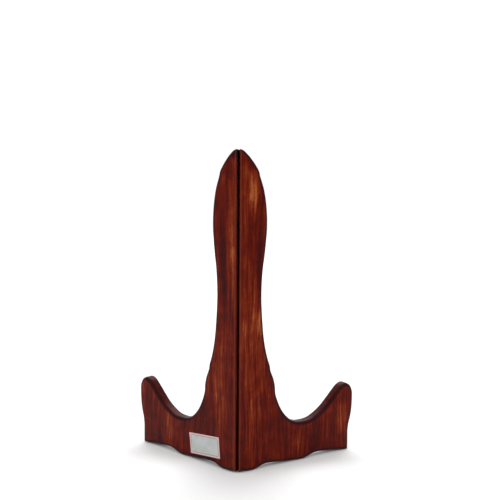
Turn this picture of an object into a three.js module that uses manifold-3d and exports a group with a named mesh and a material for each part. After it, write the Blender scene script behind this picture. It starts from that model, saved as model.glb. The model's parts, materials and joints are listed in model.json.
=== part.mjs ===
// Plate display stand: two mirror-image wooden boards that stand on edge as an open V. Two brass
// butt hinges join them on the inside of the spine, so that the stand folds flat. A plate's rim
// rests in the saddle of each board, held by the lip, and its back leans on the two tall masts.
//
// Millimetres, +Z up, the spine at the back (-Y) and the wings opening towards the front (+Y).
// The origin is on the floor, under the middle of the whole stand.
import * as THREE from 'three';
import { mergeVertices } from 'three/addons/utils/BufferGeometryUtils.js';
import Module from 'manifold-3d';

const wasm = await Module();
wasm.setup();

// Driving dimensions, in millimetres and degrees.
const STAND_HEIGHT = 250;
const BOARD_THICKNESS = 9.5;
const EDGE_ROUNDING = 2;
const HALF_OPENING_ANGLE = 52.5;
const CLEARANCE = 0.3;
const OUTER_GROOVE = 2.9;

const HINGE_HEIGHT = 32;
const UPPER_HINGE_MIDDLE = 192;
const LOWER_HINGE_MIDDLE = 44;
const LEAF_WIDTH = 9.5;
const LEAF_THICKNESS = 1;
const BARREL_RADIUS = 2;
const KNUCKLE_COUNT = 5;
const BORE_RADIUS = 1.1;
const PIN_RADIUS = 0.85;
const PIN_HEAD_RADIUS = 1.5;
const PIN_HEAD_HEIGHT = 0.6;

const SCREW_LENGTH = 8;
const SCREW_RADIUS = 1;
const SCREW_HEAD_RADIUS = 2;
const SCREW_TIP_LENGTH = 2.4;
const SCREW_SLOT = 0.6;
const SCREW_SPACING = 11;
const SCREW_FROM_AXIS = 6;

const LABEL = { width: 33, height: 17, thickness: 0.25, reach: 33.3, middle: 14.8, tilt: 5.5, corner: 1 };

// The outline of one board, as [reach along the board from the spine, height]. The board stands
// on three flats, with a shallow arch between each two.
const SPINE_FOOT = [10.5, 14.5];
const MIDDLE_FOOT = [58.5, 62.5];
const OUTER_FOOT = [103.4, 107.8];
const TOE = [[-8, 1.9], [0, 1.75], [4, 1.3], [7.5, 0.5], [SPINE_FOOT[0], 0]];
const INNER_ARCH = [
  [SPINE_FOOT[1], 0], [18, 0.85], [22, 2.2], [26, 2.85], [31, 2.65], [42, 1.55], [52, 0.6],
  [MIDDLE_FOOT[0], 0],
];
const OUTER_ARCH = [
  [MIDDLE_FOOT[1], 0], [66, 1], [70, 2.15], [75, 3], [81, 2.7], [91.5, 1.7], [98.5, 0.8],
  [OUTER_FOOT[0], 0],
];
const OUTER_END = [
  [OUTER_FOOT[1], 0], [107.8, 9], [107.8, 16.5], [108.5, 21.8], [110, 27], [111.3, 34], [111.8, 43.5],
];
const LIP = [
  [111.5, 49.5], [108.8, 54.8], [104.3, 56.9], [99.8, 55.4], [94.8, 51], [88.8, 45], [82.5, 39.2], [76, 35],
];
const SADDLE = [[69.5, 32.2], [62, 31.4], [55, 32.3], [48.5, 35.6], [41.9, 42.6], [37.5, 50.6]];
const LOWER_RIPPLES = [[34.7, 58.5], [34.2, 64.5], [32.8, 70.6], [29.9, 77.8], [29.2, 81.6], [26.8, 88.6]];
const WAIST = [[23.8, 101.6], [21.8, 120], [20.9, 138], [21.8, 156.5]];
const BULGE = [[24, 172.5], [25.6, 191], [24.9, 206], [22.7, 218.8], [20.3, 226]];
const SHOULDER = [[18.9, 229.8], [18.1, 233], [14.3, 238.8]];
const TIP = [[9.4, 244.6], [4.6, 249.1], [1.5, STAND_HEIGHT]];
const POINTS_PER_STEP = 3;

// The wing frame has its origin on the hinge axis at the floor. X runs along the board away from
// the spine and +Y points into the V, so the board's two faces are planes of constant Y.
const INNER_FACE = BARREL_RADIUS + CLEARANCE;
const OUTER_FACE = INNER_FACE + BOARD_THICKNESS;
const WING_TURN = THREE.MathUtils.degToRad(90 - HALF_OPENING_ANGLE);

// Where a line at a given distance behind the hinge axis comes within halfGap of the V's middle plane.
const spineEdge = (faceDistance, halfGap) =>
  (halfGap - faceDistance * Math.sin(WING_TURN)) / Math.cos(WING_TURN);
const INNER_SPINE = spineEdge(INNER_FACE, CLEARANCE / 2);
const OUTER_SPINE = spineEdge(OUTER_FACE, OUTER_GROOVE / 2);

const WOOD = { color: 0x6b2a1c, roughness: 0.32, metalness: 0 };
const BRASS = { color: 0xb08d45, roughness: 0.35, metalness: 1 };
const PAPER = { color: 0xd9d6d0, roughness: 0.85, metalness: 0 };

// ---- solids ----

function toSolid(geometry) {
  geometry.deleteAttribute('normal');
  geometry.deleteAttribute('uv');
  const merged = mergeVertices(geometry);
  return new wasm.Manifold(new wasm.Mesh({
    numProp: 3,
    vertProperties: new Float32Array(merged.attributes.position.array),
    triVerts: new Uint32Array(merged.index.array),
  }));
}

function toGeometry(solid) {
  const mesh = solid.getMesh();
  const geometry = new THREE.BufferGeometry();
  geometry.setAttribute('position', new THREE.BufferAttribute(mesh.vertProperties, 3));
  geometry.setIndex(new THREE.BufferAttribute(mesh.triVerts, 1));
  return geometry;
}

// The same solid on the other side of the stand's middle plane, with its faces still pointing out.
function mirrored(geometry) {
  const copy = geometry.index ? geometry.toNonIndexed() : geometry.clone();
  const position = copy.attributes.position;
  const corner = new THREE.Vector3();
  for (let i = 0; i < position.count; i += 3) {
    const first = corner.fromBufferAttribute(position, i).clone();
    const last = corner.fromBufferAttribute(position, i + 2).clone();
    position.setXYZ(i, last.x, last.y, last.z);
    position.setXYZ(i + 2, first.x, first.y, first.z);
  }
  return copy.scale(-1, 1, 1);
}

function smoothThrough(points) {
  const vectors = points.map(([reach, height]) => new THREE.Vector3(reach, height, 0));
  const curve = new THREE.CatmullRomCurve3(vectors, false, 'centripetal');
  return curve.getPoints(POINTS_PER_STEP * (points.length - 1));
}

// A cylinder about a line that runs up, from one height to another.
function uprightCylinder(radius, bottom, top, sides) {
  const cylinder = new THREE.CylinderGeometry(radius, radius, top - bottom, sides);
  return cylinder.rotateX(Math.PI / 2).translate(0, 0, (bottom + top) / 2);
}

// ---- boards ----

function boardBlank() {
  const outline = [
    ...smoothThrough(TOE),
    ...smoothThrough(INNER_ARCH),
    ...smoothThrough(OUTER_ARCH),
    ...smoothThrough([
      ...OUTER_END, ...LIP, ...SADDLE, ...LOWER_RIPPLES, ...WAIST, ...BULGE, ...SHOULDER, ...TIP,
    ]),
    new THREE.Vector3(TOE[0][0], STAND_HEIGHT, 0),
  ];
  const shape = new THREE.Shape(outline.map((point) => new THREE.Vector2(point.x, point.y)));
  const blank = new THREE.ExtrudeGeometry(shape, {
    depth: BOARD_THICKNESS - 2 * EDGE_ROUNDING,
    bevelThickness: EDGE_ROUNDING,
    bevelSize: EDGE_ROUNDING,
    bevelOffset: -EDGE_ROUNDING,
    bevelSegments: 2,
  });
  return blank.translate(0, 0, EDGE_ROUNDING).rotateX(Math.PI / 2).translate(OUTER_SPINE, -INNER_FACE, 0);
}

// What the mitre takes off the spine edge, so that the two boards meet along their inner corners.
function mitreWaste() {
  const overrun = 5;
  const slope = (OUTER_SPINE - INNER_SPINE) / BOARD_THICKNESS;
  const plan = new THREE.Shape([
    new THREE.Vector2(INNER_SPINE - slope * overrun, -INNER_FACE + overrun),
    new THREE.Vector2(OUTER_SPINE - 4 * overrun, -INNER_FACE + overrun),
    new THREE.Vector2(OUTER_SPINE - 4 * overrun, -OUTER_FACE - overrun),
    new THREE.Vector2(OUTER_SPINE + slope * overrun, -OUTER_FACE - overrun),
  ]);
  const waste = new THREE.ExtrudeGeometry(plan, { depth: STAND_HEIGHT + 2 * overrun, bevelEnabled: false });
  return waste.translate(0, 0, -overrun);
}

function screwHole(height) {
  const depth = SCREW_LENGTH - LEAF_THICKNESS;
  const overrun = 1;
  const radius = SCREW_RADIUS + CLEARANCE;
  const hole = new THREE.CylinderGeometry(radius, radius, depth + overrun, 12);
  return hole.translate(SCREW_FROM_AXIS, -INNER_FACE - (depth - overrun) / 2, height);
}

const screwHeights = (middle) => [middle + SCREW_SPACING, middle, middle - SCREW_SPACING];

function board() {
  let solid = toSolid(boardBlank()).subtract(toSolid(mitreWaste()));
  for (const height of [...screwHeights(UPPER_HINGE_MIDDLE), ...screwHeights(LOWER_HINGE_MIDDLE)]) {
    solid = solid.subtract(toSolid(screwHole(height)));
  }
  return toGeometry(solid);
}

// ---- hinges, about a middle height of 0 ----

function countersunkHole(height) {
  const face = LEAF_THICKNESS - BARREL_RADIUS;
  const back = -BARREL_RADIUS;
  const overrun = 0.4;
  const narrow = SCREW_RADIUS + CLEARANCE;
  const profile = [
    new THREE.Vector2(0, back - overrun),
    new THREE.Vector2(narrow, back - overrun),
    new THREE.Vector2(narrow, back),
    new THREE.Vector2(narrow + LEAF_THICKNESS + overrun, face + overrun),
    new THREE.Vector2(0, face + overrun),
  ];
  return new THREE.LatheGeometry(profile, 20).translate(SCREW_FROM_AXIS, 0, height);
}

// A leaf is a plate against the board, rolled into the knuckles that it owns. Where the other
// leaf's knuckles run, the plate stops short of the barrel.
function leaf(ownsEvenKnuckles) {
  const pitch = HINGE_HEIGHT / KNUCKLE_COUNT;
  const bottom = -HINGE_HEIGHT / 2;
  const plate = new THREE.BoxGeometry(LEAF_WIDTH, LEAF_THICKNESS, HINGE_HEIGHT);
  plate.translate(LEAF_WIDTH / 2, LEAF_THICKNESS / 2 - BARREL_RADIUS, 0);
  let solid = toSolid(plate);
  for (let i = 0; i < KNUCKLE_COUNT; i += 1) {
    const low = bottom + i * pitch + (i === 0 ? 0 : CLEARANCE / 2);
    const high = bottom + (i + 1) * pitch - (i === KNUCKLE_COUNT - 1 ? 0 : CLEARANCE / 2);
    if ((i % 2 === 0) === ownsEvenKnuckles) {
      solid = solid.add(toSolid(uprightCylinder(BARREL_RADIUS, low, high, 24)));
    } else {
      const notch = uprightCylinder(BARREL_RADIUS + 2 * CLEARANCE, low - CLEARANCE, high + CLEARANCE, 24);
      solid = solid.subtract(toSolid(notch));
    }
  }
  solid = solid.subtract(toSolid(uprightCylinder(BORE_RADIUS, bottom - 1, 1 - bottom, 16)));
  for (const height of screwHeights(0)) {
    solid = solid.subtract(toSolid(countersunkHole(height)));
  }
  return toGeometry(solid);
}

function hingePin() {
  const end = HINGE_HEIGHT / 2 + CLEARANCE;
  const halfProfile = [
    [PIN_RADIUS, end],
    [PIN_HEAD_RADIUS, end],
    [PIN_HEAD_RADIUS * 0.8, end + PIN_HEAD_HEIGHT * 0.75],
    [0, end + PIN_HEAD_HEIGHT],
  ];
  const lower = halfProfile.map(([radius, height]) => new THREE.Vector2(radius, -height)).reverse();
  const upper = halfProfile.map(([radius, height]) => new THREE.Vector2(radius, height));
  return new THREE.LatheGeometry([...lower, ...upper], 16).rotateX(Math.PI / 2);
}

// A countersunk wood screw with a straight slot, its head flush with the leaf.
function screw(height) {
  const profile = [
    new THREE.Vector2(0, -SCREW_LENGTH),
    new THREE.Vector2(SCREW_RADIUS, SCREW_TIP_LENGTH - SCREW_LENGTH),
    new THREE.Vector2(SCREW_RADIUS, -LEAF_THICKNESS),
    new THREE.Vector2(SCREW_HEAD_RADIUS, 0),
    new THREE.Vector2(0, 0),
  ];
  const slot = new THREE.BoxGeometry(3 * SCREW_HEAD_RADIUS, SCREW_SLOT, SCREW_SLOT);
  const solid = toSolid(new THREE.LatheGeometry(profile, 14)).subtract(toSolid(slot));
  return toGeometry(solid).translate(SCREW_FROM_AXIS, LEAF_THICKNESS - BARREL_RADIUS, height);
}

// ---- label, on the outer face ----

function paperLabel() {
  const { width, height, thickness, corner } = LABEL;
  const shape = new THREE.Shape();
  shape.absarc(width / 2 - corner, height / 2 - corner, corner, 0, Math.PI / 2);
  shape.absarc(corner - width / 2, height / 2 - corner, corner, Math.PI / 2, Math.PI);
  shape.absarc(corner - width / 2, corner - height / 2, corner, Math.PI, Math.PI * 1.5);
  shape.absarc(width / 2 - corner, corner - height / 2, corner, Math.PI * 1.5, Math.PI * 2);
  const sheet = new THREE.ExtrudeGeometry(shape, { depth: thickness, bevelEnabled: false, curveSegments: 4 });
  sheet.rotateX(Math.PI / 2).rotateY(THREE.MathUtils.degToRad(LABEL.tilt));
  return sheet.translate(OUTER_SPINE + LABEL.reach, -OUTER_FACE - CLEARANCE, LABEL.middle);
}

// ---- assembly ----

const stand = new THREE.Group();

function place(parent, name, geometry, look, height = 0) {
  const mesh = new THREE.Mesh(geometry, new THREE.MeshStandardMaterial(look));
  mesh.name = name;
  mesh.position.z = height;
  parent.add(mesh);
}

for (const side of ['left', 'right']) {
  const wing = new THREE.Group();
  const fit = side === 'left' ? mirrored : (geometry) => geometry;
  wing.rotation.z = side === 'left' ? -WING_TURN : WING_TURN;
  place(wing, `${side}_board`, fit(board()), WOOD);
  for (const [hinge, middle] of [['upper', UPPER_HINGE_MIDDLE], ['lower', LOWER_HINGE_MIDDLE]]) {
    place(wing, `${hinge}_hinge_${side}_leaf`, fit(leaf(side === 'left')), BRASS, middle);
    screwHeights(0).forEach((height, index) => {
      const name = `${hinge}_hinge_${side}_screw_${index + 1}`;
      place(wing, name, fit(screw(height)), BRASS, middle);
    });
  }
  if (side === 'left') {
    place(wing, 'paper_label', fit(paperLabel()), PAPER);
  }
  stand.add(wing);
}
place(stand, 'upper_hinge_pin', hingePin(), BRASS, UPPER_HINGE_MIDDLE);
place(stand, 'lower_hinge_pin', hingePin(), BRASS, LOWER_HINGE_MIDDLE);

// The hinge axis stands behind the origin, so that the origin is under the middle of the stand.
const extent = new THREE.Box3().setFromObject(stand, true);
stand.position.y = -(extent.min.y + extent.max.y) / 2;

export default stand;
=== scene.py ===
"""Plate display stand: two rosewood boards joined by brass butt hinges, seen from behind.

The CAD boards, hinges, screws, pins and label are each replaced by a finer piece in the same
place. Lengths are in millimetres, except in the floor, the lights and the bump distances, which
are in metres as Blender is.
"""

import json
import math

import bmesh
import bpy
from mathutils import Matrix, Vector, kdtree


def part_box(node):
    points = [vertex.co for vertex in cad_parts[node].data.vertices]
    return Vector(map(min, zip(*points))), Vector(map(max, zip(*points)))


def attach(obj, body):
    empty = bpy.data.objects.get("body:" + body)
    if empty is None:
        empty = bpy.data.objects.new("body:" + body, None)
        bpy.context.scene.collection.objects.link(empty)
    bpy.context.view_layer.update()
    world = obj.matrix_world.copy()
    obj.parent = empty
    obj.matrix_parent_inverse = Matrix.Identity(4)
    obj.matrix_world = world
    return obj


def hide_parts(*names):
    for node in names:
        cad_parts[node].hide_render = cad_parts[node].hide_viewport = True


MM = 0.001

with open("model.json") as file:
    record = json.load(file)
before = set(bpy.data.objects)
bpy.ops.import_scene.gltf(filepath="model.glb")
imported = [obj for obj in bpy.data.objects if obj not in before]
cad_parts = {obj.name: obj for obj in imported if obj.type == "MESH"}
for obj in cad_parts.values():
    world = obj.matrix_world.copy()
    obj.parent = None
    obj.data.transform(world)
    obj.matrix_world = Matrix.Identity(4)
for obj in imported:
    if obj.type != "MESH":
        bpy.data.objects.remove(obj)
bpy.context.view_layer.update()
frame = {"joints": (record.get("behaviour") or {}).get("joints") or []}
hinge_axis = Vector(frame["joints"][0]["pos_m"])

# ---- sizes ----

# A wing is one board with its hinge leaves. Faces are counted outward from the hinge axis.
WING_TURN = math.radians(37.5)
BOARD_THICKNESS = 9.5
INNER_FACE = 2.3
OUTER_FACE = INNER_FACE + BOARD_THICKNESS
EDGE_RADIUS = 2.3

# Reach along a board starts at the CAD board's outer spine corner, this far from the middle plane.
CORNER_HALF_GAP = 1.45
SPINE_SHIFT = (CORNER_HALF_GAP - OUTER_FACE * math.sin(WING_TURN)) / math.cos(WING_TURN)

# The mitred spine edges open into a groove outside, and nearly touch from its floor inward. The
# easings round off their corners at the two faces.
GROOVE_HALF_WIDTH = 1.75
GROOVE_DEPTH = 5.2
CLOSED_HALF_GAP = 0.03
OUTER_EASING = 0.6
INNER_EASING = 0.3

# A leaf lies between -BARREL_RADIUS and LEAF_FACE along its wing's own Y.
HINGE_HEIGHT = 32
BARREL_RADIUS = 2
KNUCKLE_COUNT = 5
KNUCKLE_GAP = 0.12
KNUCKLE_CLEARANCE = 0.4
LEAF_WIDTH = 9.5
LEAF_THICKNESS = 1
LEAF_FACE = LEAF_THICKNESS - BARREL_RADIUS
LEAF_EASING = 0.12
BORE_RADIUS = 0.95
PIN_RADIUS = 0.85
PIN_HEAD_RADIUS = 1.5
PIN_HEAD_RIM = 0.1
PIN_HEAD_DOME = 0.6
SCREW_SPACING = 11
SCREW_FROM_AXIS = 6
SCREW_HEAD_RADIUS = 2
SCREW_RADIUS = 1
SCREW_LENGTH = 8
SCREW_POINT = 2.4
SCREW_EASING = 0.05
SLOT_HALF_WIDTH = 0.28
SLOT_DEPTH = 0.55

# How far each screw's slot is turned, in radians, from the top screw down.
SLOT_TURNS = {"left": (0.1, 2.8, 1.9), "right": (0.4, 1.3, 2.2)}

# The label's middle is at LABEL_REACH and LABEL_MIDDLE on the left board. Its printed frame has
# round corners.
LABEL_WIDTH = 33
LABEL_HEIGHT = 17
LABEL_REACH = 33.3
LABEL_MIDDLE = 14.8
LABEL_TILT = math.radians(5.5)
PAPER_THICKNESS = 0.12
FRAME_FROM_EDGE = 1.45
FRAME_CORNER_RADIUS = 1.75

# One board's outline, as (reach along the board, height), from the toe round to the tip.
SPINE_FOOT = (10.5, 14.5)
MIDDLE_FOOT = (58.5, 62.5)
OUTER_FOOT = (103.4, 107.8)
FOOT_CORNER = 1
TOE = [(-4, 1.85), (0, 1.75), (4, 1.3), (7.5, 0.5), (SPINE_FOOT[0], 0)]
INNER_ARCH = [
    (SPINE_FOOT[1], 0),
    (18, 0.85),
    (22, 2.2),
    (26, 2.85),
    (31, 2.65),
    (42, 1.55),
    (52, 0.6),
    (MIDDLE_FOOT[0], 0),
]
OUTER_ARCH = [
    (MIDDLE_FOOT[1], 0),
    (66, 1),
    (70, 2.15),
    (75, 3),
    (81, 2.7),
    (91.5, 1.7),
    (98.5, 0.8),
    (OUTER_FOOT[0], 0),
]
OUTER_END = [(107.8, 9), (107.8, 16.5), (108.5, 21.8), (110, 27), (111.3, 34), (111.8, 43.5)]
LIP_FRONT = [(111.5, 49.5), (108.8, 54.8), (104.3, 56.9), (99.8, 55.4)]
LIP_BACK = [(94.8, 51), (88.8, 45), (82.5, 39.2), (76, 35)]
SADDLE = [(69.5, 32.2), (62, 31.4), (55, 32.3), (48.5, 35.6), (41.9, 42.6), (37.5, 50.6)]
LOWER_RIPPLES = [(34.7, 58.5), (34.2, 64.5), (32.8, 70.6), (29.9, 77.8), (29.2, 81.6), (26.8, 88.6)]
WAIST = [(23.8, 101.6), (21.8, 120), (20.9, 138), (21.8, 156.5)]
BULGE = [(24, 172.5), (25.6, 191), (24.9, 206), (22.7, 218.8), (20.3, 226)]
SHOULDER = [(18.9, 229.8), (18.1, 233), (14.3, 238.8), (9.4, 244.6)]
TIP = [SHOULDER[-1], (4.2, 249), (1.5, 249.9), (0, 249), (-4, 244)]
OUTLINE_SPACING = 0.5
TOE_STEPS = 18
TIP_STEPS = 32


# ---- camera ----

# The camera looks along +Y. Heading turns it to its left, and a negative pitch looks down.
CAMERA_FROM_HINGE = (68.9, -683.9, 261.4)
CAMERA_HEADING = math.radians(5.09)
CAMERA_PITCH = math.radians(-7.33)
CAMERA_ROLL = math.radians(0.35)
LENS = 65.25
SENSOR_WIDTH = 36


def make_camera():
    data = bpy.data.cameras.new("camera")
    data.lens = LENS
    data.sensor_width = SENSOR_WIDTH
    camera = bpy.data.objects.new("camera", data)
    bpy.context.scene.collection.objects.link(camera)
    heading = Matrix.Rotation(CAMERA_HEADING, 4, "Z")
    pitch = Matrix.Rotation(math.pi / 2 + CAMERA_PITCH, 4, "X")
    roll = Matrix.Rotation(CAMERA_ROLL, 4, "Z")
    spot = Matrix.Translation(hinge_axis + Vector(CAMERA_FROM_HINGE) * MM)
    camera.matrix_world = spot @ heading @ pitch @ roll
    bpy.context.scene.camera = camera


# ---- mesh helpers ----


def wing_point(side, x, y, z):
    """From a wing's own frame to the row frame, in metres. X runs along the board from the hinge
    axis and +Y points into the V."""
    across = x * math.cos(WING_TURN) - y * math.sin(WING_TURN)
    along = x * math.sin(WING_TURN) + y * math.cos(WING_TURN)
    mirror = -1 if side == "left" else 1
    return Vector((mirror * across, along, z)) * MM + hinge_axis


def add_object(name, bm):
    mesh = bpy.data.meshes.new(name)
    bm.to_mesh(mesh)
    bm.free()
    made = bpy.data.objects.new(name, mesh)
    bpy.context.scene.collection.objects.link(made)
    return made


def smooth(piece, sharp_degrees):
    piece.data.polygons.foreach_set("use_smooth", [True] * len(piece.data.polygons))
    piece.data.set_sharp_from_angle(angle=math.radians(sharp_degrees))


def apply_modifiers(piece):
    graph = bpy.context.evaluated_depsgraph_get()
    mesh = bpy.data.meshes.new_from_object(piece.evaluated_get(graph))
    piece.modifiers.clear()
    piece.data = mesh


def combine(piece, tool, operation):
    """Joins a tool to a piece or cuts it out of it, and deletes the tool."""
    modifier = piece.modifiers.new("combine", "BOOLEAN")
    modifier.operation = operation
    modifier.solver = "EXACT"
    modifier.object = tool
    apply_modifiers(piece)
    bpy.data.objects.remove(tool)


def ease_edges(piece, width):
    modifier = piece.modifiers.new("ease", "BEVEL")
    modifier.width = width
    modifier.segments = 2
    modifier.limit_method = "ANGLE"
    modifier.angle_limit = math.radians(40)
    apply_modifiers(piece)


def move_to_wing(piece, side, height):
    """Takes a piece drawn in the wing's frame, about height 0, to its place in the row frame.
    "own" keeps where each vertex was drawn, in millimetres."""
    own = piece.data.attributes.new("own", "FLOAT_VECTOR", "POINT")
    for vertex, kept in zip(piece.data.vertices, own.data):
        x, y, z = vertex.co
        kept.vector = (x, y, z)
        vertex.co = wing_point(side, x, y, z + height)
    if side == "left":
        piece.data.flip_normals()


def upright_cylinder(radius, bottom, top):
    bm = bmesh.new()
    bmesh.ops.create_cone(
        bm,
        cap_ends=True,
        segments=48,
        radius1=radius,
        radius2=radius,
        depth=top - bottom,
        matrix=Matrix.Translation((0, 0, (bottom + top) / 2)),
    )
    return add_object("tool", bm)


def box(low, high):
    bm = bmesh.new()
    size = [b - a for a, b in zip(low, high)]
    centre = [(a + b) / 2 for a, b in zip(low, high)]
    bmesh.ops.create_cube(bm, size=1, matrix=Matrix.Translation(centre) @ Matrix.Diagonal((*size, 1)))
    return add_object("tool", bm)


def lathe(profile, segments=48):
    """Turns a profile of (radius, height) about Z. The profile starts and ends on the axis."""
    bm = bmesh.new()
    angles = [math.tau * i / segments for i in range(segments)]
    rings = []
    for radius, height in profile:
        around = angles if radius else [0]
        points = [(radius * math.cos(a), radius * math.sin(a), height) for a in around]
        rings.append([bm.verts.new(point) for point in points])
    for lower, upper in zip(rings, rings[1:]):
        for i in range(segments):
            j = (i + 1) % segments
            quad = ((lower, i), (lower, j), (upper, j), (upper, i))
            corners = [ring[k % len(ring)] for ring, k in quad]
            bm.faces.new(list(dict.fromkeys(corners)))
    bmesh.ops.recalc_face_normals(bm, faces=bm.faces)
    return add_object("turned", bm)


def finish_piece(piece, body, material, node):
    """Gives a piece its material and its body, and lets it stand for a CAD node."""
    piece.data.materials.clear()
    piece.data.materials.append(material)
    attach(piece, body)
    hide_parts(node)


# ---- boards ----


def smooth_through(points, steps=12):
    """A centripetal Catmull-Rom curve through the points, ends included."""
    points = [Vector(p) for p in points]
    padded = [2 * points[0] - points[1], *points, 2 * points[-1] - points[-2]]
    curve = []
    for p0, p1, p2, p3 in zip(padded, padded[1:], padded[2:], padded[3:]):
        d0, d1, d2 = [math.sqrt((b - a).length) for a, b in ((p0, p1), (p1, p2), (p2, p3))]
        start = ((p1 - p0) / d0 - (p2 - p0) / (d0 + d1) + (p2 - p1) / d1) * d1
        end = ((p2 - p1) / d1 - (p3 - p1) / (d1 + d2) + (p3 - p2) / d2) * d1
        for i in range(steps):
            t = i / steps
            curve.append(
                p1 * (2 * t**3 - 3 * t**2 + 1)
                + start * (t**3 - 2 * t**2 + t)
                + p2 * (3 * t**2 - 2 * t**3)
                + end * (t**3 - t**2)
            )
    return [*curve, points[-1]]


def height_at(curve, reach):
    """The height of a curve that runs one way along the board, at a given reach."""
    for a, b in zip(curve, curve[1:]):
        if (a.x - reach) * (b.x - reach) <= 0 and a.x != b.x:
            return a.y + (b.y - a.y) * (reach - a.x) / (b.x - a.x)
    return curve[-1].y


def evenly_spaced(points, spacing):
    """The same path with points a little under spacing apart, corners rounded off by that much."""
    lengths = [(b - a).length for a, b in zip(points, points[1:])]
    total = sum(lengths)
    count = math.ceil(total / spacing)
    path = []
    i = 0
    passed = 0
    for k in range(count):
        target = total * k / count
        while passed + lengths[i] < target:
            passed += lengths[i]
            i += 1
        path.append(points[i].lerp(points[i + 1], (target - passed) / lengths[i]))
    return [*path, points[-1]]


def foot_corner():
    """The round corner under the outer end."""
    centre = Vector((OUTER_FOOT[1] - FOOT_CORNER, FOOT_CORNER))
    angles = [math.radians(-90 + 15 * i) for i in range(7)]
    return [centre + FOOT_CORNER * Vector((math.cos(a), math.sin(a))) for a in angles]


def middle_outline():
    """The outline from the spine foot round to the shoulder, which doesn't change with depth."""
    under = [*smooth_through(INNER_ARCH), *smooth_through(OUTER_ARCH), *foot_corner()]
    above = [*OUTER_END, *LIP_FRONT, *LIP_BACK, *SADDLE, *LOWER_RIPPLES, *WAIST, *BULGE, *SHOULDER]
    return evenly_spaced([*under, *smooth_through(above)], OUTLINE_SPACING)


TOE_CURVE = smooth_through(TOE)
TIP_CURVE = smooth_through(TIP, 16)
MIDDLE_OUTLINE = middle_outline()


def mitre_reach(depth):
    """The reach of the mitred spine edge at a depth below the outer face."""
    open_part = max(0, 1 - depth / GROOVE_DEPTH)
    half_gap = CLOSED_HALF_GAP + (GROOVE_HALF_WIDTH - CLOSED_HALF_GAP) * open_part
    from_axis = (half_gap - (OUTER_FACE - depth) * math.sin(WING_TURN)) / math.cos(WING_TURN)
    reach = from_axis - SPINE_SHIFT
    easing = OUTER_EASING if depth < BOARD_THICKNESS / 2 else INNER_EASING
    from_face = min(depth, BOARD_THICKNESS - depth) / easing
    if from_face >= 1:
        return reach
    return reach + easing * (1 - math.sqrt(1 - (1 - from_face) ** 2))


def draw_in(ring, inset, start):
    """Moves an outline inward by inset, between its two ends on the mitre at reach start. Where a
    tight corner has no room for that, its points gather where the two sides meet."""
    slack = 0.02
    tree = kdtree.KDTree(len(ring))
    for i, point in enumerate(ring):
        tree.insert((point.x, point.y, 0), i)
    tree.balance()
    moved = []
    fits = []
    for i, point in enumerate(ring):
        along = ring[min(i + 1, len(ring) - 1)] - ring[max(i - 1, 0)]
        outward = Vector((along.y, -along.x)).normalized()
        inner = point - outward * inset
        moved.append(inner)
        fits.append(inner.x > start and tree.find((inner.x, inner.y, 0))[2] > inset - slack)
    first = fits.index(True)
    last = len(fits) - 1 - fits[::-1].index(True)
    before = first
    for i in range(first, last + 1):
        if not fits[i]:
            continue
        for k in range(before + 1, i):
            moved[k] = (moved[before] + moved[i]) / 2
        before = i
    for k in range(first):
        moved[k] = Vector((start, moved[first].y))
    for k in range(last + 1, len(moved)):
        moved[k] = Vector((start, moved[last].y))
    moved[0].x = start
    moved[-1].x = start
    return moved


def board_ring(depth, inset, spine_inset):
    """The board's outline at a depth below the outer face, drawn in by inset. The toe is lifted
    at the outer face only, and comes down to the floor behind the groove."""
    start = mitre_reach(depth) + spine_inset
    toe = [start + (SPINE_FOOT[0] - start) * i / TOE_STEPS for i in range(TOE_STEPS)]
    tip = [TIP[0][0] + (start - TIP[0][0]) * i / TIP_STEPS for i in range(1, TIP_STEPS + 1)]
    lift = max(0, 1 - depth / GROOVE_DEPTH)
    ring = [Vector((u, height_at(TOE_CURVE, u) * lift)) for u in toe]
    ring.append(Vector((SPINE_FOOT[0], 0)))
    ring += MIDDLE_OUTLINE
    ring += [Vector((u, height_at(TIP_CURVE, u))) for u in tip]
    return draw_in(ring, inset, start) if inset else ring


def board_levels():
    """The rounded edge from the outer face to the inner one, as (depth, inset, inset at the
    spine, how much painted shade darkens the wood there)."""
    rounding = [(0, EDGE_RADIUS + 1.3, 0.6, 0), (0, EDGE_RADIUS + 0.4, 0.3, 0.25)]
    for i in range(8):
        angle = math.radians(90 * i / 7)
        depth = EDGE_RADIUS * (1 - math.cos(angle))
        inset = EDGE_RADIUS * (1 - math.sin(angle))
        rounding.append((depth, inset, 0, 0.3 + 0.7 * math.sin(2 * angle)))
    inner = [(BOARD_THICKNESS - depth, *rest) for depth, *rest in reversed(rounding)]
    return rounding + inner


def make_board(side):
    """A board whose vertices keep "grain", their place in the wing's frame, and the weight
    of the painted shade on its rounded edges.
    """
    bm = bmesh.new()
    edge_shade = bm.verts.layers.float.new("edge_shade")
    grain = bm.verts.layers.float_vector.new("grain")
    rings = []
    for depth, inset, spine_inset, edge in board_levels():
        ring = []
        for point in board_ring(depth, inset, spine_inset):
            x, y, z = SPINE_SHIFT + point.x, depth - OUTER_FACE, point.y
            vertex = bm.verts.new(wing_point(side, x, y, z))
            vertex[edge_shade] = edge
            vertex[grain] = (x, y, z)
            ring.append(vertex)
        # The spine edges get none of the painted edge shade.
        ring[0][edge_shade] = 0
        ring[-1][edge_shade] = 0
        rings.append(ring)
    for outer, inner in zip(rings, rings[1:]):
        for i in range(len(outer)):
            j = (i + 1) % len(outer)
            bm.faces.new((outer[i], outer[j], inner[j], inner[i]))
    bm.faces.new(reversed(rings[0]))
    bm.faces.new(rings[-1])
    bmesh.ops.remove_doubles(bm, verts=bm.verts, dist=0.02 * MM)
    bmesh.ops.recalc_face_normals(bm, faces=bm.faces)
    board = add_object(f"{side}_board_wood", bm)
    smooth(board, 35)
    return board


# ---- hinges, each piece drawn in the wing's frame about height 0 ----


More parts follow.
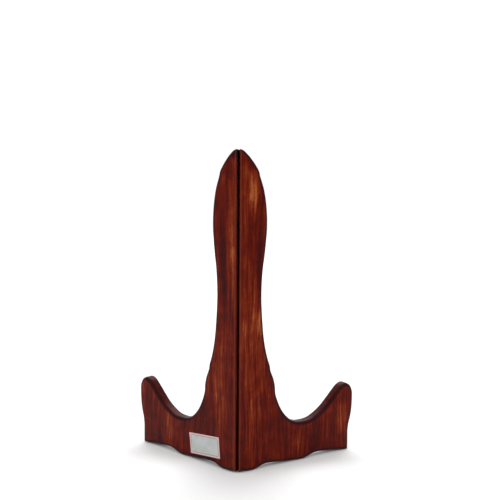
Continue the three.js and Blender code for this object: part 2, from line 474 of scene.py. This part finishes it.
def knuckle_ends(i):
    """The bottom and top of a hinge's knuckle, with a gap to the knuckles beside it."""
    pitch = HINGE_HEIGHT / KNUCKLE_COUNT
    bottom = i * pitch - HINGE_HEIGHT / 2
    low = bottom + (KNUCKLE_GAP / 2 if i > 0 else 0)
    high = bottom + pitch - (KNUCKLE_GAP / 2 if i < KNUCKLE_COUNT - 1 else 0)
    return low, high


def countersink(height):
    """A tool for a screw's hole: a clear bore that opens in a 45 degree cone to above the face."""
    narrow = SCREW_RADIUS + 0.1
    above = 0.4
    wide = narrow + LEAF_THICKNESS + above
    sink = lathe([(0, -3), (narrow, -3), (narrow, -LEAF_THICKNESS), (wide, above), (0, above)], 32)
    sink.data.transform(Matrix.Rotation(-math.pi / 2, 4, "X"))
    sink.data.transform(Matrix.Translation((SCREW_FROM_AXIS, LEAF_FACE, height)))
    return sink


def make_leaf(side):
    """A plate rolled into its knuckles. The left leaf has the even ones, counted from 0."""
    half = HINGE_HEIGHT / 2
    leaf = box((0, -BARREL_RADIUS, -half), (LEAF_WIDTH, LEAF_FACE, half))
    for i in range(KNUCKLE_COUNT):
        low, high = knuckle_ends(i)
        if (i % 2 == 0) == (side == "left"):
            combine(leaf, upright_cylinder(BARREL_RADIUS, low, high), "UNION")
        else:
            room = BARREL_RADIUS + KNUCKLE_CLEARANCE
            combine(leaf, upright_cylinder(room, low - KNUCKLE_GAP, high + KNUCKLE_GAP), "DIFFERENCE")
    combine(leaf, upright_cylinder(BORE_RADIUS, -half - 1, half + 1), "DIFFERENCE")
    for i in (-1, 0, 1):
        combine(leaf, countersink(i * SCREW_SPACING), "DIFFERENCE")
    ease_edges(leaf, LEAF_EASING)
    return leaf


def make_screw(turn):
    """A countersunk screw with a straight slot, its head flush with the leaf's face."""
    screw = lathe(
        [
            (0, -SCREW_LENGTH),
            (SCREW_RADIUS, SCREW_POINT - SCREW_LENGTH),
            (SCREW_RADIUS, -LEAF_THICKNESS),
            (SCREW_HEAD_RADIUS - 0.08, -0.1),
            (SCREW_HEAD_RADIUS - 0.1, -0.02),
            (SCREW_HEAD_RADIUS * 0.6, 0),
            (0, 0),
        ]
    )
    slot = box((-3, -SLOT_HALF_WIDTH, -SLOT_DEPTH), (3, SLOT_HALF_WIDTH, 0.5))
    combine(screw, slot, "DIFFERENCE")
    screw.data.transform(Matrix.Rotation(turn, 4, "Z"))
    screw.data.transform(Matrix.Rotation(-math.pi / 2, 4, "X"))
    ease_edges(screw, SCREW_EASING)
    screw.data.transform(Matrix.Translation((SCREW_FROM_AXIS, LEAF_FACE, 0)))
    return screw


def make_pin():
    """A pin with a low round head at each end."""
    end = HINGE_HEIGHT / 2 + 0.1
    upper = [(PIN_RADIUS, end), (PIN_HEAD_RADIUS, end)]
    for i in range(1, 7):
        angle = math.radians(15 * i)
        radius = 0 if i == 6 else PIN_HEAD_RADIUS * math.cos(angle)
        upper.append((radius, end + PIN_HEAD_RIM + PIN_HEAD_DOME * math.sin(angle)))
    lower = [(radius, -height) for radius, height in reversed(upper)]
    return lathe([*lower, *upper])


# ---- label ----


def make_label():
    """A paper sheet on the left board's outer face, with one corner lifting. "sheet" holds its
    own coordinates in millimetres from its middle."""
    columns, rows = 44, 24
    bm = bmesh.new()
    sheet = bm.verts.layers.float_vector.new("sheet")
    grid = []
    for j in range(rows + 1):
        line = []
        for i in range(columns + 1):
            a = (i / columns - 0.5) * LABEL_WIDTH
            b = (j / rows - 0.5) * LABEL_HEIGHT
            to_corner = max(0, a / LABEL_WIDTH + b / LABEL_HEIGHT - 0.55)
            ripple = math.sin(a * 0.55 + 1) * math.sin(b * 0.5)
            lift = 0.05 + 1.4 * to_corner**1.3 + 0.02 * ripple
            x = SPINE_SHIFT + LABEL_REACH + a * math.cos(LABEL_TILT) + b * math.sin(LABEL_TILT)
            z = LABEL_MIDDLE - a * math.sin(LABEL_TILT) + b * math.cos(LABEL_TILT)
            vertex = bm.verts.new(wing_point("left", x, -OUTER_FACE - lift - PAPER_THICKNESS, z))
            vertex[sheet] = (a, b, 0)
            line.append(vertex)
        grid.append(line)
    for lower, upper in zip(grid, grid[1:]):
        for i in range(columns):
            bm.faces.new((lower[i], upper[i], upper[i + 1], lower[i + 1]))
    label = add_object("paper_label_sheet", bm)
    thicken = label.modifiers.new("thicken", "SOLIDIFY")
    thicken.thickness = PAPER_THICKNESS * MM
    thicken.offset = -1
    apply_modifiers(label)
    smooth(label, 40)
    return label


# ---- materials ----


class Graph:
    """A short way to write a material: each method adds a node and gives its output."""

    def __init__(self, name):
        self.material = bpy.data.materials.new(name)
        self.material.use_nodes = True
        self.tree = self.material.node_tree
        self.shader = self.tree.nodes["Principled BSDF"]

    def add(self, kind, inputs=None, **settings):
        made = self.tree.nodes.new("ShaderNode" + kind)
        for key, value in settings.items():
            setattr(made, key, value)
        for key, value in (inputs or {}).items():
            self.feed(made.inputs[key], value)
        return made

    def feed(self, socket, value):
        if isinstance(value, bpy.types.NodeSocket):
            self.tree.links.new(value, socket)
        else:
            socket.default_value = value

    def attribute(self, name, output):
        return self.add("Attribute", attribute_name=name).outputs[output]

    def math(self, operation, a, b=0):
        return self.add("Math", {0: a, 1: b}, operation=operation).outputs[0]

    def times(self, value, factor):
        return self.math("MULTIPLY", value, factor)

    def total(self, *values):
        so_far = values[0]
        for value in values[1:]:
            so_far = self.math("ADD", so_far, value)
        return so_far

    def vector(self, operation, a, b):
        return self.add("VectorMath", {0: a, 1: b}, operation=operation).outputs[0]

    def length(self, vector):
        return self.add("VectorMath", {0: vector}, operation="LENGTH").outputs["Value"]

    def joined(self, *parts):
        return self.add("CombineXYZ", dict(enumerate(parts))).outputs[0]

    def noise(self, vector, stretch, detail, roughness=0.5):
        """Noise whose features are 1 / stretch long, in the vector's own unit, along X, Y and Z."""
        inputs = {"Vector": self.vector("MULTIPLY", vector, stretch), "Scale": 1}
        inputs |= {"Detail": detail, "Roughness": roughness}
        return self.add("TexNoise", inputs).outputs["Fac"]

    def span(self, value, low, high, to_low=0, to_high=1):
        """A smooth step of the value from low to high, or from high to low."""
        inputs = {"Value": value, 1: low, 2: high, 3: to_low, 4: to_high}
        return self.add("MapRange", inputs, interpolation_type="SMOOTHSTEP").outputs[0]

    def ramp(self, value, stops):
        made = self.add("ValToRGB", {"Fac": value})
        elements = made.color_ramp.elements
        elements.remove(elements[1])
        elements[0].position, elements[0].color = stops[0]
        for position, colour in stops[1:]:
            elements.new(position).color = colour
        return made.outputs["Color"]

    def mix(self, factor, a, b):
        return self.add("Mix", {"Factor": factor, 6: a, 7: b}, data_type="RGBA").outputs[2]

    def bump(self, height, strength, distance, **normal):
        inputs = {"Height": height, "Strength": strength, "Distance": distance, **normal}
        return self.add("Bump", inputs).outputs[0]

    def set(self, **values):
        for key, value in values.items():
            self.feed(self.shader.inputs[key.replace("_", " ")], value)


def srgb(red, green, blue):
    """A colour given as 0 to 255 display values, as linear RGBA."""
    shown = (red / 255, green / 255, blue / 255)
    linear = [v / 12.92 if v <= 0.04045 else ((v + 0.055) / 1.055) ** 2.4 for v in shown]
    return (*linear, 1)


# Where a board's colour leaves the average: (reach from the hinge axis, height, half width,
# half length, towards orange if positive and towards dark purple if negative).
FIGURE = {
    "left": [
        (3, 238, 8, 10, -0.5),
        (-5, 248, 3.5, 5, -2.5),
        (-1, 192, 3.2, 34, 0.55),
        (9, 182, 4.5, 40, -0.5),
        (5.5, 150, 3, 38, -0.9),
        (-3.8, 152, 1.8, 36, 0.35),
        (3, 52, 3, 26, 0.7),
        (14, 58, 3, 22, 0.5),
        (4, 17, 1.6, 24, 0.8),
        (66, 17, 9, 18, 0.35),
        (30, 45, 9, 30, -0.5),
        (93, 30, 6, 20, -0.3),
        (26, 4, 17, 5, -0.9),
    ],
    "right": [
        (5.5, 217, 5, 18, 1.3),
        (2, 244, 9, 9, -0.7),
        (6, 124, 2, 26, 0.5),
        (10, 114, 3, 20, 0.9),
        (12, 168, 5, 22, -0.6),
        (4, 34, 5, 34, 0.55),
        (93, 29, 6, 14, 0.75),
        (30, 44, 8, 26, -0.4),
        (65, 12, 8, 14, -0.45),
        (48, 10, 7, 16, 0.35),
    ],
}
FIGURE_STRENGTH = 0.16
ROSEWOOD = [
    (0.46, srgb(40, 6, 12)),
    (0.57, srgb(64, 9, 8)),
    (0.68, srgb(90, 17, 4)),
    (0.8, srgb(117, 40, 15)),
    (0.94, srgb(163, 88, 46)),
]


def figure_patch(g, own, ragged, patch):
    """How far one patch of the figure moves the tone, fading out with ragged ends."""
    reach, height, half_width, half_length, strength = patch
    away = g.vector("SUBTRACT", own, (reach, 0, height))
    away = g.vector("MULTIPLY", away, (1 / half_width, 0, 1 / half_length))
    near = g.times(g.span(g.length(away), 1.5, 0.1), ragged)
    return g.times(near, FIGURE_STRENGTH * strength)


def wood_material(name, figure, offset):
    """Varnished rosewood. Its grain runs up the board and wanders a little sideways. The offset
    is where in the noise this board was cut from."""
    g = Graph(name)
    own = g.attribute("grain", "Vector")
    cut = g.vector("ADD", own, offset)
    wander = g.times(g.math("SUBTRACT", g.noise(cut, (0.03, 0.05, 0.014), 2), 0.5), 9)
    bent = g.vector("ADD", cut, g.joined(wander))
    bands = g.noise(bent, (0.16, 0.2, 0.009), 3, 0.55)
    streaks = g.noise(bent, (0.62, 0.7, 0.03), 4, 0.62)
    fine = g.noise(bent, (2.4, 2.4, 0.11), 3, 0.6)
    pores = g.noise(bent, (5.5, 5.5, 0.32), 1)
    mottle = g.noise(cut, (0.12, 0.14, 0.1), 3, 0.6)
    swell = g.noise(cut, (0.12, 0.12, 0.05), 2)

    parts = g.add("SeparateXYZ", {0: own})
    reach, height = parts.outputs[0], parts.outputs[2]
    ragged = g.span(streaks, 0.25, 0.65, 0.35, 1.15)
    tone = g.total(
        g.times(bands, 0.42),
        g.times(streaks, 0.5),
        g.times(fine, 0.2),
        g.times(mottle, 0.28),
        g.span(height, 90, 20, 0, -0.05),
        *[figure_patch(g, own, ragged, patch) for patch in figure],
    )
    # Painted shade: the rounded edges darken towards dark purple-brown, as where they turn into
    # shade.
    painted_edge_shade = g.span(g.attribute("edge_shade", "Fac"), 0, 0.6, 0, 0.85)
    # Painted highlight: a lighter line along the spine edge, where its eased arris catches the light.
    painted_spine_highlight = g.span(reach, SPINE_SHIFT + 1.8, SPINE_SHIFT + 1, 0, 0.3)
    colour = g.ramp(tone, ROSEWOOD)
    colour = g.mix(g.span(pores, 0.4, 0.3, 0, 0.5), colour, srgb(28, 5, 5))
    colour = g.mix(painted_edge_shade, colour, srgb(32, 9, 16))
    colour = g.mix(painted_spine_highlight, colour, srgb(124, 66, 54))

    relief = g.total(g.times(g.span(pores, 0.32, 0.42), 0.6), g.times(fine, 0.5))
    soft = g.bump(swell, 0.25, 0.0012)
    g.set(
        Base_Color=colour,
        Roughness=g.span(fine, 0.3, 0.7, 0.3, 0.44),
        Normal=g.bump(relief, 0.35, 0.00012, Normal=soft),
        Coat_Normal=soft,
        Specular_IOR_Level=0.07,
        Specular_Tint=(1, 0.42, 0.3, 1),
        Coat_Weight=0.05,
        Coat_Roughness=0.18,
        Coat_IOR=1.45,
    )
    return g.material


def grime_round_screws(g, own):
    """1 at the rim of each screw's countersink, fading out over the leaf."""
    parts = g.add("SeparateXYZ", {0: own})
    from_middle = g.math("ABSOLUTE", parts.outputs[2])
    from_outer = g.math("ABSOLUTE", g.math("SUBTRACT", from_middle, SCREW_SPACING))
    up = g.math("MINIMUM", from_middle, from_outer)
    across = g.math("SUBTRACT", parts.outputs[0], SCREW_FROM_AXIS)
    return g.span(g.length(g.joined(across, up)), SCREW_HEAD_RADIUS + 0.9, SCREW_HEAD_RADIUS)


def brass_material(name, clean, worn, is_leaf):
    """Aged brass, blotched and brushed. Leaves are dark with grime around their screw heads."""
    g = Graph(name)
    own = g.attribute("own", "Vector")
    in_metres = g.add("TexCoord").outputs["Object"]
    blotch = g.noise(in_metres, (170, 170, 170), 3, 0.55)
    specks = g.noise(in_metres, (2600, 2600, 2600), 3, 0.6)
    brushed = g.noise(own, (6, 6, 0.4), 2)
    colour = g.mix(g.span(blotch, 0.3, 0.75), clean, worn)
    colour = g.mix(g.span(specks, 0.55, 0.8, 0, 0.35), colour, srgb(96, 66, 38))
    rough = g.total(g.span(blotch, 0.3, 0.75, 0.24, 0.38), g.times(brushed, 0.1))
    if is_leaf:
        grime = g.times(grime_round_screws(g, own), 0.8)
        colour = g.mix(grime, colour, srgb(62, 40, 24))
        rough = g.total(rough, g.times(grime, 0.25))
    g.set(Base_Color=colour, Roughness=rough, Normal=g.bump(brushed, 0.15, 0.00004), Metallic=1)
    return g.material


def paper_material():
    """Off-white paper with a printed border: a thin frame with round corners, and a pale band
    from there to the edge."""
    g = Graph("label_paper")
    sheet = g.attribute("sheet", "Vector")
    parts = g.add("SeparateXYZ", {0: sheet})
    past = []
    for axis, size in ((0, LABEL_WIDTH), (1, LABEL_HEIGHT)):
        corner_centre = size / 2 - FRAME_FROM_EDGE - FRAME_CORNER_RADIUS
        beyond = g.math("SUBTRACT", g.math("ABSOLUTE", parts.outputs[axis]), corner_centre)
        past.append(g.math("MAXIMUM", beyond, 0))
    outward = g.length(g.joined(*past))
    from_frame = g.math("ABSOLUTE", g.math("SUBTRACT", outward, FRAME_CORNER_RADIUS))
    line = g.span(from_frame, 0.34, 0.16, 0, 0.75)
    band = g.span(outward, FRAME_CORNER_RADIUS + 0.05, FRAME_CORNER_RADIUS + 0.35)
    fibres = g.noise(sheet, (1.4, 1.4, 1.4), 5, 0.65)
    stain = g.noise(sheet, (0.12, 0.12, 0.12), 2)
    colour = g.mix(g.span(stain, 0.35, 0.7), srgb(186, 189, 188), srgb(174, 180, 176))
    colour = g.mix(band, colour, srgb(205, 180, 180))
    colour = g.mix(line, colour, srgb(142, 96, 92))
    colour = g.mix(g.span(fibres, 0.55, 0.75, 0, 0.12), colour, srgb(140, 134, 126))
    g.set(Base_Color=colour, Normal=g.bump(fibres, 0.25, 0.00005), Roughness=0.7)
    g.set(Specular_IOR_Level=0.3)
    return g.material


def floor_material():
    g = Graph("floor_white")
    g.set(Base_Color=(0.9, 0.9, 0.9, 1), Roughness=0.9)
    return g.material


# ---- floor and light, in metres ----


def make_floor():
    bm = bmesh.new()
    bmesh.ops.create_circle(bm, cap_ends=True, segments=96, radius=1.7)
    floor = add_object("floor", bm)
    floor.data.materials.append(floor_material())


def softbox(name, spot, aim, size, power):
    data = bpy.data.lights.new(name, "AREA")
    data.shape = "RECTANGLE"
    data.size, data.size_y = size
    data.energy = power
    lamp = bpy.data.objects.new(name, data)
    bpy.context.scene.collection.objects.link(lamp)
    lamp.location = spot
    lamp.rotation_euler = (Vector(aim) - Vector(spot)).to_track_quat("-Z", "Y").to_euler()


def make_studio():
    """A world that is white behind the object and dim in front of it, so that the varnish keeps
    its depth."""
    world = bpy.data.worlds.new("studio")
    world.use_nodes = True
    tree = world.node_tree
    background = tree.nodes["Background"]
    direction = tree.nodes.new("ShaderNodeTexCoord")
    parts = tree.nodes.new("ShaderNodeSeparateXYZ")
    fade = tree.nodes.new("ShaderNodeMapRange")
    fade.interpolation_type = "SMOOTHSTEP"
    fade.inputs["From Min"].default_value = 0.25
    fade.inputs["From Max"].default_value = 0.8
    fade.inputs["To Min"].default_value = 0.52
    fade.inputs["To Max"].default_value = 1.03
    tree.links.new(direction.outputs["Generated"], parts.inputs[0])
    tree.links.new(parts.outputs["Y"], fade.inputs["Value"])
    tree.links.new(fade.outputs[0], background.inputs["Strength"])
    background.inputs["Color"].default_value = (1, 1, 1, 1)
    bpy.context.scene.world = world
    bpy.context.scene.view_settings.view_transform = "Standard"


def make_lights():
    """Softboxes over both boards and over the floor behind them."""
    middle = (0, 0, 0.1)
    softbox("key", (1.0, -1.2, 1.5), middle, (1.1, 1.1), 13)
    softbox("fill", (-1.2, -1.0, 1.3), middle, (1.1, 1.1), 11)
    softbox("back", (0, 1.3, 1.8), (0, 0.8, 0), (1.8, 1.2), 26)


# ---- assembly ----


def add_boards():
    wood = {
        "left": wood_material("rosewood_left", FIGURE["left"], (210, 40, 15)),
        "right": wood_material("rosewood_right", FIGURE["right"], (37, 12, 300)),
    }
    for side in ("left", "right"):
        finish_piece(make_board(side), f"{side}_wing", wood[side], f"{side}_board")


def add_hinge_piece(piece, kind, side, height, body, material, node):
    piece.name = f"{node}_{kind}"
    move_to_wing(piece, side, height)
    smooth(piece, 35)
    finish_piece(piece, body, material, node)


def add_hinge(hinge, leaf_brass, screw_brass):
    """One hinge at the height of its CAD pin, which rides with the left wing."""
    pin_node = f"{hinge}_hinge_pin"
    low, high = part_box(pin_node)
    middle = (low.z + high.z) / 2 / MM
    add_hinge_piece(make_pin(), "turned", "right", middle, "left_wing", screw_brass, pin_node)
    for side in ("left", "right"):
        body = f"{side}_wing"
        node = f"{hinge}_hinge_{side}"
        add_hinge_piece(make_leaf(side), "rolled", side, middle, body, leaf_brass, f"{node}_leaf")
        for i, turn in enumerate(SLOT_TURNS[side]):
            height = middle + (1 - i) * SCREW_SPACING
            screw_node = f"{node}_screw_{i + 1}"
            add_hinge_piece(make_screw(turn), "slotted", side, height, body, screw_brass, screw_node)


make_camera()
add_boards()
leaf_brass = brass_material("leaf_brass", srgb(204, 164, 94), srgb(170, 126, 66), True)
screw_brass = brass_material("screw_brass", srgb(188, 150, 92), srgb(150, 112, 64), False)
for hinge in ("upper", "lower"):
    add_hinge(hinge, leaf_brass, screw_brass)
finish_piece(make_label(), "left_wing", paper_material(), "paper_label")
make_floor()
make_studio()
make_lights()
